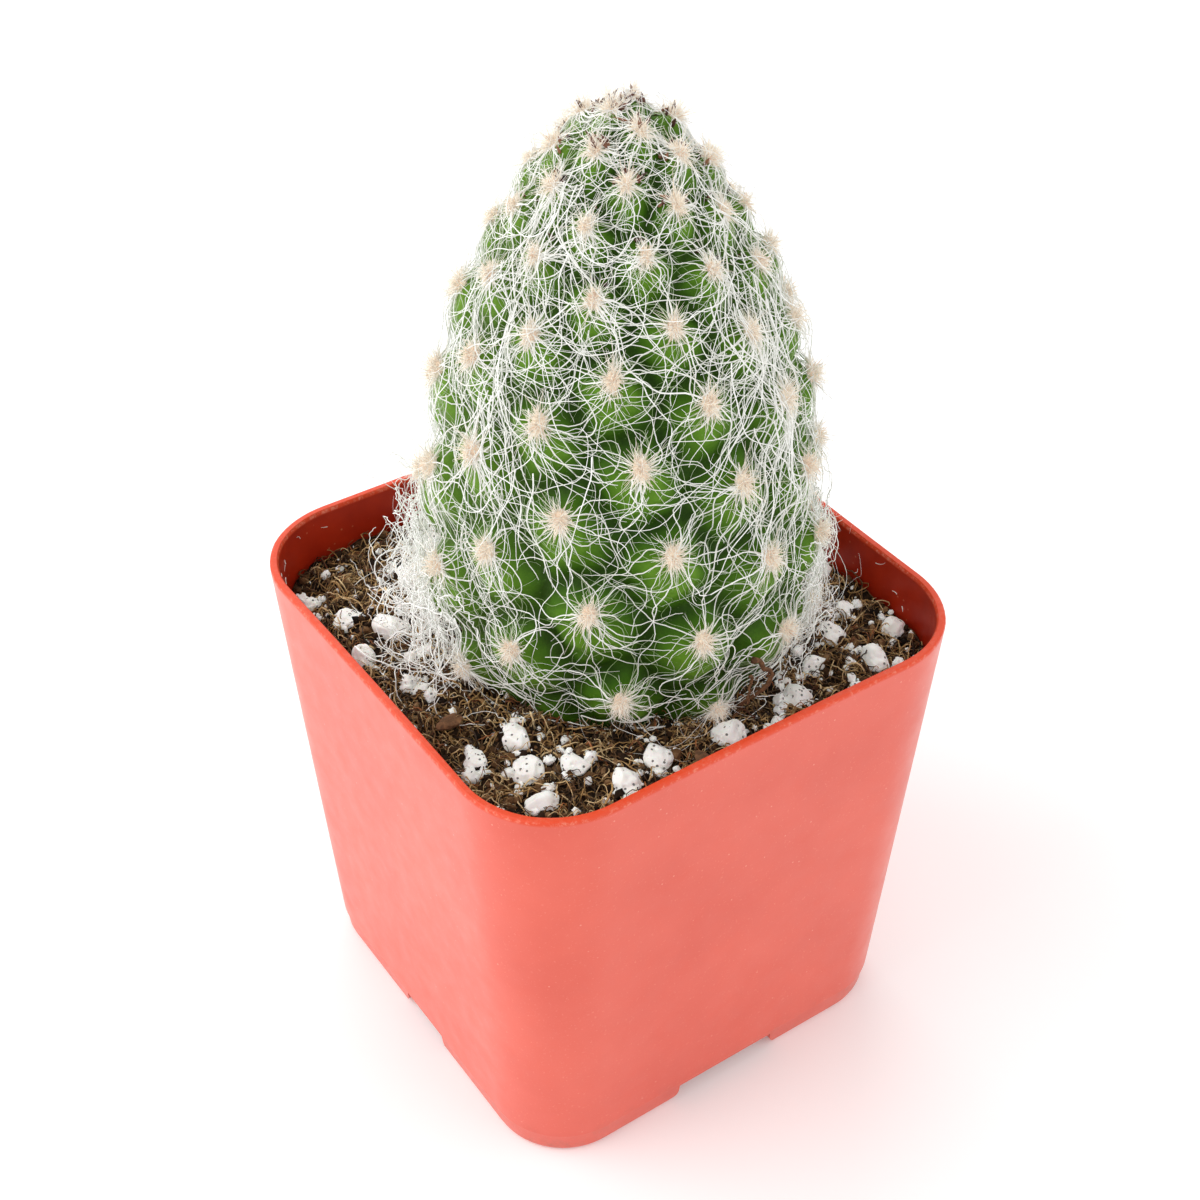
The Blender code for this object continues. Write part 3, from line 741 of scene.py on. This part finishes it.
def wander(
    rng, s, angle, heading, length, lift, droop, curl, steps=24, start=0.5, cling=0.0, kink=0.16, bob=0.0
):
    """Hair paths (n, steps, 3) that wander over the stem from a distance and a bearing.

    heading is 0 for down the stem. droop turns a hair towards down and curl bends it to and fro,
    in radians for each millimetre. start and lift are how far it stands off the envelope, first
    and further along, and cling is how closely it follows the tubercles and creases. kink and
    bob are the random bends and hops at each step.
    """
    n = len(s)
    step = length / (steps - 1)
    drift = rng.normal(0, 0.14, n)
    beat = TURN / rng.uniform(4, 13, n)
    phase = rng.uniform(0, TURN, n)
    swell = rng.uniform(0, TURN, n)
    amount = curl * rng.uniform(0.4, 1.4, n)
    s, angle, heading = s.copy(), angle.copy(), heading.copy()
    paths = np.zeros((n, steps, 3))
    for k in range(steps):
        t = k * step
        risen = (lift - start) * (1 - np.exp(-t / 2.6))
        stand = start + risen * (0.75 + 0.35 * np.sin(t / 2.6 + swell))
        _, sunk = tubercles(s, angle)
        stand = stand + sunk * cling * (1 - np.exp(-t / 1.5)) + rng.normal(0, 1, n) * bob
        point = on_stem(s, angle, stand)
        # Hairs that come down to the mix spread out over it.
        ground = soil_height(point[:, 0], point[:, 1]) + 0.12 + 0.3 * np.sin(t + swell) ** 2
        under = np.maximum(ground - point[:, 2], 0)
        away = np.stack([np.cos(angle), np.sin(angle)], -1)
        point[:, :2] += away * (0.75 * under)[:, None]
        point[:, 2] += under
        # Hairs lower than the rim stay inside the walls.
        limit = wall_reach(angle, SOIL_TOP + 3, WALL + 0.3)
        reach = np.linalg.norm(point[:, :2] - STEM_CENTRE, axis=1)
        over = np.where(point[:, 2] < POT_HEIGHT + 1, np.maximum(reach - limit, 0), 0)
        point[:, :2] -= away * over[:, None]
        point[:, 2] += over * 0.8
        paths[:, k] = point
        bend = drift + amount * np.sin(beat * t + phase) - droop * np.sin(heading)
        heading += bend * step + rng.normal(0, kink, n)
        angle += np.sin(heading) * step / turning_radius(s)
        s = np.abs(s + np.cos(heading) * step)
    return paths


def off_pad(s, angle, heading):
    """Where a hair leaves the rim of its areole's pad."""
    rim = np.clip(s / 30, 0.5, 1)
    angle = angle + np.sin(heading) * rim / turning_radius(s)
    return np.abs(s + np.cos(heading) * rim), angle


def make_hairs(name, rng, paths, radius, surface, tint=(0, 1)):
    """Tapering hairs along paths, a little unlike each other in thickness and tint."""
    n, steps, _ = paths.shape
    radii = radius * rng.uniform(0.65, 1.25, (n, 1)) * np.linspace(1, 0.45, steps)
    tubes(name, paths, radii, surface, HAIR_SLOT, 3, rng.uniform(*tint, n))


def make_web(surface):
    """The web of long wavy hairs that grow from the areoles, all round the stem."""
    for part in range(3):
        rng = default_rng(60 + part)
        thick = 0.66 + 0.38 * np.sin(2 * (PAD_ANGLE - MIDDLE)) ** 2 + 0.3 * (PAD_S < 16)
        count = np.round(rng.uniform(3, 8, len(PAD_S)) * thick).astype(int)
        lock = np.repeat(rng.normal(0, 1.1, len(PAD_S)), count)
        s, angle = np.repeat(PAD_S, count), np.repeat(PAD_ANGLE, count)
        n = len(s)
        in_lock = rng.uniform(0, 1, n) < 0.3
        heading = np.where(in_lock, lock + rng.normal(0, 0.25, n), rng.uniform(-3.1, 3.1, n))
        s, angle = off_pad(s, angle, heading)
        near_tip = np.clip(s / 30, 0.35, 1)
        length = rng.uniform(7, 20, n) * near_tip
        lift = (0.15 + 0.9 * rng.uniform(0, 1, n) ** 1.5) * near_tip
        cling = rng.uniform(0.45, 0.95, n)
        paths = wander(rng, s, angle, heading, length, lift, 0.03, 0.30, 24, 0.2, cling, 0.2)
        make_hairs(f"hair_web_{part + 1}", rng, paths, 0.082, surface)


def make_streams(surface):
    """Long, nearly parallel hairs that run down two sides of the stem."""
    for name, bearing, width, count, seed in (
        ("hair_stream_left", 192, 0.24, 85, 77),
        ("hair_stream_right", 287, 0.13, 70, 78),
    ):
        rng = default_rng(seed)
        s = rng.uniform(8, 38, count)
        angle = math.radians(bearing) + rng.normal(0, width, count)
        length = rng.uniform(12, 26, count)
        lift = rng.uniform(0.3, 1.3, count)
        heading = rng.normal(0, 0.22, count)
        paths = wander(rng, s, angle, heading, length, lift, 0.12, 0.2, 28, 0.3, 0.3, 0.08)
        make_hairs(name, rng, paths, 0.08, surface, (0.4, 1))


def make_undercoat(surface):
    """Finer hairs that lie close to the skin, down in the creases."""
    rng = default_rng(71)
    count = 13
    s, angle = np.repeat(PAD_S, count), np.repeat(PAD_ANGLE, count)
    n = len(s)
    heading = rng.uniform(-3.1, 3.1, n)
    s, angle = off_pad(s, angle, heading)
    length = rng.uniform(6, 13, n) * np.clip(s / 30, 0.35, 1)
    lift = rng.uniform(0.1, 0.4, n)
    paths = wander(rng, s, angle, heading, length, lift, 0.0, 0.5, 20, 0.1, 0.95)
    make_hairs("hair_undercoat", rng, paths, 0.048, surface, (0, 0.7))


def make_falls(surface):
    """Matted hair that hangs from the stem's sides on to the mix."""
    for name, bearing, width, count, stand, seed in (
        ("hair_fall_left", 148, 0.30, 310, 10.5, 81),
        ("hair_fall_right", 322, 0.24, 120, 5.5, 82),
    ):
        rng = default_rng(seed)
        height = rng.uniform(1, 17, count)
        s = np.interp(-height, -LINE_Z, LINE_S)
        angle = math.radians(bearing) + rng.normal(0, width, count)
        lift = 0.5 + stand * rng.uniform(0, 1, count) * np.clip(1.15 - height / 20, 0.3, 1)
        length = rng.uniform(6, 16, count)
        heading = rng.normal(0, 1.2, count)
        paths = wander(rng, s, angle, heading, length, lift, 0.10, 0.5, 30, 0.5, 0.4, 0.38, 0.10)
        make_hairs(name, rng, paths, 0.085, surface, (0.7, 1))


def make_wall_hairs(surface):
    """Short hairs stuck to the inside of the pot's walls."""
    rng = default_rng(95)
    n, steps = 44, 8
    bearing = rng.uniform(0, TURN, n)
    z = SOIL_TOP + rng.uniform(1.2, 5.5, n)
    heading = rng.uniform(0, TURN, n)
    turn = rng.normal(0, 1.0, n)
    length = rng.uniform(0.5, 2.6, n)
    paths = np.zeros((n, steps, 3))
    for k in range(steps):
        reach = wall_reach(bearing, SOIL_TOP + 3, WALL + 0.08)
        x, y = from_stem(reach + (z - SOIL_TOP - 3) * WALL_SLOPE, bearing)
        paths[:, k] = np.stack([x, y, z], -1)
        heading += turn * length / steps
        bearing += np.cos(heading) * length / steps / reach
        z += np.sin(heading) * length / steps
    make_hairs("hair_on_walls", rng, paths, 0.06, surface)


def make_wisps(surface):
    """Very fine loose hairs that stand off the stem."""
    rng = default_rng(91)
    n = 330
    pick = rng.integers(0, len(PAD_S), n)
    s, angle = PAD_S[pick], PAD_ANGLE[pick]
    lift = rng.uniform(1.0, 5.0, n)
    length = rng.uniform(8, 20, n)
    heading = rng.uniform(-3.1, 3.1, n)
    paths = wander(rng, s, angle, heading, length, lift, 0.0, 0.3)
    make_hairs("hair_wisps", rng, paths, 0.024, surface, (0.4, 1))


def leaf_path(s, angle, length, lean, steps=9):
    """A little awl-shaped leaf that curves up from its areole."""
    _, sunk = tubercles(np.array([s]), np.array([angle]))
    foot = on_stem(s, angle, sunk[0])
    way = outward(s, angle) + (0, 0, 0.8)
    way = way / np.linalg.norm(way)
    side = np.array([-math.sin(angle), math.cos(angle), 0])
    t = np.linspace(0, 1, steps)[:, None]
    return foot + way * t * length + side * lean * t**2 * length


def make_leaves():
    """The young leaves stand for the CAD ones, and older dried tips sit above lower areoles."""
    stops = ((0.0, (0.028, 0.010, 0.007)), (0.5, (0.13, 0.042, 0.024)), (1.0, (0.42, 0.20, 0.10)))
    surface = strand_surface("dried_leaf", stops, 0.6)
    profile = np.array([0.65, 0.9, 1.0, 0.96, 0.86, 0.7, 0.5, 0.28, 0.08])
    rng = default_rng(101)
    for i in range(YOUNG_LEAVES):
        node = f"young_leaf_{i + 1}"
        low, high = node_box(node)
        length = (high[2] - low[2]) * 0.7
        path = leaf_path(AREOLE_S[i], AREOLE_ANGLE[i], length, rng.normal(0, 0.35))
        radii = profile[None] * 0.27
        tint = [rng.uniform(0.2, 0.7)]
        leaf = tubes(f"leaf_{i + 1}", path[None], radii, surface, "young_leaf", 14, tint)
        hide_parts(node)
    paths, widths = [], []
    for i in range(TIPPED):
        for _ in range(6 if i < NEWEST else 2):
            turn = rng.uniform(-1.6, 1.6) if i < NEWEST else rng.normal(0, 0.4)
            reach = AREOLE_SIZE[i] * rng.uniform(0.18, 0.36)
            s = abs(AREOLE_S[i] - reach * math.cos(turn))
            angle = AREOLE_ANGLE[i] + reach * math.sin(turn) / turning_radius(AREOLE_S[i])
            young = 1.3 if i < 14 else 1.0
            paths.append(leaf_path(s, angle, rng.uniform(0.5, 1.0) * young, rng.normal(0, 0.6)))
            widths.append(rng.uniform(0.12, 0.24) * young)
    radii = np.outer(widths, profile)
    tint = rng.uniform(0, 0.9, len(paths))
    tubes("dried_leaf_tips", np.array(paths), radii, surface, "young_leaf", 8, tint)


def make_fuzz():
    """Everything that grows from the areoles but the leaves: felt, spines and hairs."""
    # The felt, spines and white hair glow a little: painted light.
    felt_stops = ((0.0, (0.62, 0.38, 0.22)), (0.5, (0.90, 0.76, 0.58)), (1.0, (0.96, 0.91, 0.82)))
    felt = strand_surface("areole_felt", felt_stops, 0.9, glow=0.15)
    spine_stops = ((0.0, (0.80, 0.70, 0.58)), (1.0, (0.94, 0.92, 0.87)))
    spine = strand_surface("spine", spine_stops, 0.5, glow=0.14)
    hair_stops = ((0.0, (0.66, 0.66, 0.60)), (1.0, (0.97, 0.97, 0.95)))
    hair = strand_surface("white_hair", hair_stops, 0.45, glow=0.18)
    # The finest hairs are painted a pale green, for the green skin seen through them.
    fine_stops = ((0.0, (0.34, 0.48, 0.20)), (1.0, (0.82, 0.88, 0.70)))
    fine_hair = strand_surface("fine_hair", fine_stops, 0.45)
    make_pads(felt)
    bristles("areole_felt_1", 105, (0.5, 1.1), (0, 75), 0.06, felt, 121, 0.85, 0.4, (0.15, 1))
    bristles("areole_felt_2", 105, (0.8, 1.7), (25, 98), 0.05, felt, 124, 0.75, 0.4, (0.5, 1))
    bristles("spines_short", 24, (1.6, 3.6), (55, 100), 0.052, spine, 122, 0.9)
    bristles("spines_long", 5, (3.0, 5.5), (50, 95), 0.045, spine, 123, 0.9, 0.15)
    bristles("spines_crown", 46, (1.6, 3.3), (0, 75), 0.05, felt, 125, 0.9, 0.25, (0.4, 1), NEWEST)
    make_web(hair)
    make_undercoat(fine_hair)
    make_streams(hair)
    make_falls(hair)
    make_wall_hairs(hair)
    make_wisps(hair)


# ---- potting mix and what lies on it


def make_mix():
    """The mix, lumpy on top, filling the pot round the stem's foot."""
    columns = 460
    angles = np.arange(columns) * TURN / columns
    rings = []
    for z, inset in ((2.2, WALL + 1.6), (5.0, WALL + 0.5), (SOIL_TOP - 2.5, WALL + 0.2)):
        rings.append((wall_reach(angles, z, inset), np.full(columns, z)))
    outer = wall_reach(angles, SOIL_TOP, WALL + 0.12)
    for share in np.linspace(0, 1, 70):
        reach = outer + (MIX_FROM - outer) * share
        rings.append((reach, soil_height(*from_stem(reach, angles))))
    for s in np.linspace(LINE_S[np.argmax(LINE_Z < -2)], LINE_S[-1] - 1, 8):
        radius = np.interp(s, LINE_S, LINE_R) + 0.3
        z = SOIL_TOP - 0.3 + np.interp(s, LINE_S, LINE_Z)
        rings.append((np.full(columns, radius), np.full(columns, z)))
    points = np.concatenate([np.column_stack([*from_stem(r, angles), z]) for r, z in rings])
    faces = [grid_faces(len(rings), columns)] + end_caps(points, columns)
    mix = mesh_object("mix_bed", points, faces, mix_surface(), "potting_mix")
    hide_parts("potting_mix")


def grain_spots():
    """(x, y, radius) of every perlite grain of the CAD model."""
    spots = []
    for i in range(1, GRAINS + 1):
        low, high = node_box(f"perlite_{i:02d}")
        spots.append([*((low + high) / 2)[:2], (high - low)[:2].mean() / 2])
    return np.array(spots)


def beside_grains(rng, count):
    """Spots (x, y) close round the perlite grains."""
    x, y, radius = grain_spots()[rng.integers(0, GRAINS, count)].T
    turn = rng.uniform(0, TURN, count)
    reach = radius * rng.uniform(1.0, 1.7, count)
    x, y = x + reach * np.cos(turn), y + reach * np.sin(turn)
    away, bearing = about_stem(x, y)
    limit = wall_reach(bearing, SOIL_TOP, WALL + 0.7)
    keep = (away > GROUND_FROM + 0.3) & (away < limit)
    return x[keep], y[keep]


def scatter(rng, count, edge=0.6):
    """Spots (x, y) spread over the mix between stem and wall."""
    angle = rng.uniform(0, TURN, count * 3)
    reach = np.sqrt(rng.uniform(GROUND_FROM**2, 41.0**2, count * 3))
    keep = reach < wall_reach(angle, SOIL_TOP, WALL + edge)
    return from_stem(reach[keep][:count], angle[keep][:count])


def unit_sphere(level):
    edit = bmesh.new()
    bmesh.ops.create_icosphere(edit, subdivisions=level, radius=1.0)
    edit.verts.index_update()
    points = np.array([v.co[:] for v in edit.verts])
    faces = np.array([[v.index for v in f.verts] for f in edit.faces])
    edit.free()
    return points, faces


def make_crumbs(name, count, sizes, surface, slot, seed, level, rise, spots=scatter):
    """Many small angular crumbs, as one object."""
    rng = default_rng(seed)
    ball, faces = unit_sphere(level)
    x, y = spots(rng, count)
    count = len(x)
    size = np.exp(rng.uniform(math.log(sizes[0]), math.log(sizes[1]), count)) / 2
    shape = rng.uniform(0.5, 1.2, (count, 1, 3)) * rng.uniform(0.7, 1.2, (count, len(ball), 1))
    local = ball * shape * size[:, None, None]
    turns = zip(rng.uniform(0, 6, count), rng.normal(size=(count, 3)))
    turns = np.array([Matrix.Rotation(a, 3, Vector(v)) for a, v in turns])
    local = np.einsum("nij,nkj->nki", turns, local)
    middle = np.stack([x, y, soil_height(x, y) + size * rise], -1)
    points = (local + middle[:, None]).reshape(-1, 3)
    faces = (faces + (np.arange(count) * len(ball))[:, None, None]).reshape(-1, 3)
    tint = np.repeat(rng.uniform(0, 1, count), len(ball))
    mesh_object(name, points, [faces], surface, slot, {"tint": tint}, smooth=level > 1)


def make_fibres(name, count, lengths, radius, surface, seed, lift):
    """Curly fibres that lie in and over the mix."""
    rng = default_rng(seed)
    steps = 12
    x, y = scatter(rng, count, 1.2)
    count = len(x)
    heading = rng.uniform(0, TURN, count)
    length = rng.uniform(*lengths, count)
    step = length / (steps - 1)
    drift = rng.normal(0, 0.55, count)
    arch = rng.uniform(0, 1, count) ** 1.5 * lift
    phase = rng.uniform(0.5, 3.5, count)
    paths = np.zeros((count, steps, 3))
    for k in range(steps):
        t = k / (steps - 1)
        z = soil_height(x, y) + arch * np.sin(phase * t * 2) + 0.05
        paths[:, k] = np.stack([x, y, z], -1)
        heading += drift * step + rng.normal(0, 0.30, count)
        x, y = x + np.cos(heading) * step, y + np.sin(heading) * step
        reach, bearing = about_stem(x, y)
        pull = np.minimum(1, wall_reach(bearing, SOIL_TOP, WALL + 0.3) / reach)
        x = STEM_CENTRE[0] + (x - STEM_CENTRE[0]) * pull
        y = STEM_CENTRE[1] + (y - STEM_CENTRE[1]) * pull
    radii = radius * rng.uniform(0.5, 1.5, (count, 1)) * np.linspace(1, 0.5, steps)
    # Most grains lie on top of the fibres.
    covered = np.zeros(count, dtype=bool)
    for x, y, size in grain_spots():
        covered |= (np.hypot(paths[:, :, 0] - x, paths[:, :, 1] - y) < size * 0.8).any(1)
    keep = ~covered | (rng.uniform(0, 1, count) < 0.12)
    tint = rng.uniform(0, 1, keep.sum())
    tubes(name, paths[keep], radii[keep], surface, "potting_mix", 3, tint)


def rough_grain(name, node, surface, slot, seed, amount, pits):
    """A rough lump in a CAD node's box, with small pits."""
    rng = default_rng(seed)
    low, high = node_box(node)
    middle, half = (low + high) / 2, (high - low) / 2
    ball, faces = unit_sphere(5)
    swell = amount * waves(ball, 1.9, seed)[:, None]
    shape = ball * (1 + swell + 0.4 * amount * waves(ball, 0.7, seed + 1)[:, None])
    # A few flat faces, as on broken pieces.
    for _ in range(5):
        way = rng.normal(size=3)
        way /= np.linalg.norm(way)
        beyond = np.maximum(shape @ way - rng.uniform(0.68, 0.85), 0)
        shape -= beyond[:, None] * way * 0.85
    for _ in range(pits):
        way = rng.normal(size=3)
        way /= np.linalg.norm(way)
        near = 1 - np.linalg.norm(ball - way, axis=1) / rng.uniform(0.10, 0.24)
        shape *= 1 - 0.16 * smooth_step(near)[:, None]
    shape /= np.abs(shape).max(0)
    points = middle + shape * half * 0.99
    obj = mesh_object(name, points, [faces], surface, slot)
    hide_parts(node)


def make_dried_root(surface):
    """A dried, twisted rootlet that leans against the foot of the stem."""
    rng = default_rng(131)
    steps = 16
    t = np.linspace(0, 1, steps)
    paths, radii = [], []
    strands = ((9.0, 1.5, 275, 0.34), (7.5, 3.5, 273, 0.22), (4.0, 0.8, 279, 0.26))
    for start, end, bearing, thick in strands:
        height = start + (end - start) * t
        s = np.interp(-height, -LINE_Z, LINE_S)
        sway = np.cumsum(rng.normal(0, 0.35, steps))
        angle = math.radians(bearing) + (sway + 1.2 * np.sin(t * 6)) / 22
        out = 0.6 + 0.8 * t + 0.5 * np.sin(t * 7 + bearing)
        paths.append(on_stem(s, angle, out))
        radii.append(thick * (1 - 0.6 * t) * rng.uniform(0.8, 1.25, steps))
    tubes("dried_root", np.array(paths), np.array(radii), surface, "bark", 7)


def make_ground():
    """Everything that lies on the mix."""
    browns = (
        (0.0, (0.010, 0.005, 0.003)), (0.45, (0.045, 0.022, 0.010)),
        (0.8, (0.14, 0.068, 0.028)), (1.0, (0.33, 0.20, 0.10)),
    )
    crumb = strand_surface("peat_crumb", browns, 0.95, Specular_IOR_Level=0.2)
    fibre_stops = (
        (0.0, (0.020, 0.009, 0.003)), (0.35, (0.15, 0.070, 0.021)),
        (0.7, (0.52, 0.30, 0.105)), (1.0, (0.95, 0.72, 0.40)),
    )
    fibre = strand_surface("coir", fibre_stops, 0.5)
    rust_stops = ((0.0, (0.06, 0.015, 0.005)), (1.0, (0.50, 0.17, 0.05)))
    rust = strand_surface("red_brown_fibre", rust_stops, 0.6)
    perlite = perlite_surface()
    make_mix()
    make_crumbs("peat_crumbs", 2600, (0.35, 1.5), crumb, "potting_mix", 111, 1, 0.25)
    make_crumbs("perlite_bits", 420, (0.25, 1.3), perlite, "perlite", 112, 2, 0.5)
    make_crumbs("perlite_chips", 150, (0.5, 2.1), perlite, "perlite", 116, 3, 0.5, beside_grains)
    make_fibres("coir_fine_1", 3200, (1.5, 5.5), 0.075, fibre, 113, 1.2)
    make_fibres("coir_fine_2", 3200, (1.5, 5.5), 0.085, fibre, 115, 1.5)
    make_fibres("coir_coarse", 520, (2.5, 8.0), 0.12, fibre, 114, 1.6)
    make_fibres("coir_red_brown", 420, (1.5, 5.0), 0.10, rust, 117, 1.5)
    for i in range(1, GRAINS + 1):
        node = f"perlite_{i:02d}"
        rough_grain(f"grain_{i:02d}", node, perlite, "perlite", 200 + 3 * i, 0.15, 12)
    bark = bark_surface()
    make_dried_root(bark)
    for i in range(1, CHIPS + 1):
        rough_grain(f"chip_{i}", f"bark_chip_{i}", bark, "bark", 400 + 3 * i, 0.08, 0)


# ---- stage


def aim(name, data, place, target):
    """An object for a lamp or camera that looks from a place at a target, in millimetres."""
    obj = bpy.data.objects.new(name, data)
    obj.location = Vector(place) * MM
    way = Vector(target) * MM - obj.location
    obj.rotation_euler = way.to_track_quat("-Z", "Y").to_euler()
    SCENE.collection.objects.link(obj)
    return obj


def make_stage():
    """A pale floor, soft studio light and the camera."""
    side, down = 2500, -0.02
    corners = ((-side, -side, down), (side, -side, down), (side, side, down), (-side, side, down))
    floor = mesh_object("floor", corners, [[(0, 1, 2, 3)]], floor_surface(), None)

    world = bpy.data.worlds.new("studio")
    world.use_nodes = True
    background = world.node_tree.nodes["Background"]
    background.inputs["Color"].default_value = (1, 1, 1, 1)
    background.inputs["Strength"].default_value = 0.72
    SCENE.world = world
    SCENE.view_settings.view_transform = "Standard"

    for name, place, size, power in (
        ("key", (-600, 280, 620), 0.80, 4.8),
        ("fill", (550, -700, 500), 0.80, 1.6),
        ("back", (300, 700, 750), 0.70, 2.2),
    ):
        light = bpy.data.lights.new(name, "AREA")
        light.energy = power
        light.size = size
        aim(name, light, place, (0, 0, 60))

    camera = bpy.data.cameras.new("camera")
    camera.lens = 59.6
    camera.clip_start = 0.01
    place, target = (-99.94, -145.57, 201.87), (18.77, 27.77, 30.19)
    SCENE.camera = aim("camera", camera, place, target)


make_stage()
make_pot()
make_stem()
make_fuzz()
make_leaves()
make_ground()
